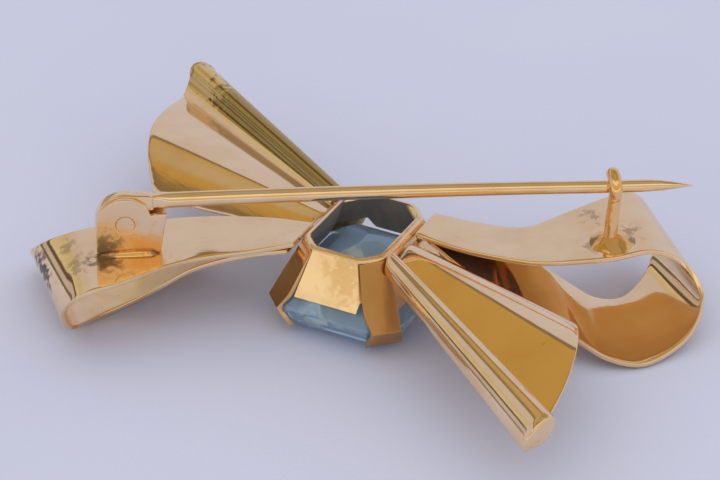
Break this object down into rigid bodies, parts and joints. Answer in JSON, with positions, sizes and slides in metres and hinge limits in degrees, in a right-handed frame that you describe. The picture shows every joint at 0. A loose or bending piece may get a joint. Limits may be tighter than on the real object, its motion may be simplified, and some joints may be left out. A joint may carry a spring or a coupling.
{
  "type": "brooch",
  "caption": "Folded-ribbon bow brooch lying face down, with a step-cut stone in a tapered claw setting, a riveted hinge with a lifting pin stem and an open hook catch.",
  "frame": {"origin": "centre of the stone's table, the flat face that the brooch lies on when it is face down", "axes": "+Z out of the back of the brooch, towards the pin; +X along the pin from its hinge to its catch; +Y across the bow, towards the tail beside the hinge"},
  "size_m": [0.0554, 0.0572, 0.0126],
  "materials": {
    "gold": "polished",
    "stone": "polished"
  },
  "bodies": {
    "bow": {"right_loop": "gold", "left_loop": "gold", "right_tail": "gold", "left_tail": "gold", "collet": "gold", "claw_1": "gold", "claw_2": "gold", "claw_3": "gold", "claw_4": "gold", "stone": "stone", "hinge_front_cheek": "gold", "hinge_rear_cheek": "gold", "hinge_rivet": "gold", "catch_hook": "gold"},
    "pin": {"pin_stem": "gold"}
  },
  "joints": [
    {"name": "pin_lift", "type": "hinge", "parent": "bow", "child": "pin", "pos_m": [-0.0195, 0, 0.0092], "axis": [0, -1, 0], "range_deg": [0, 100]}
  ]
}
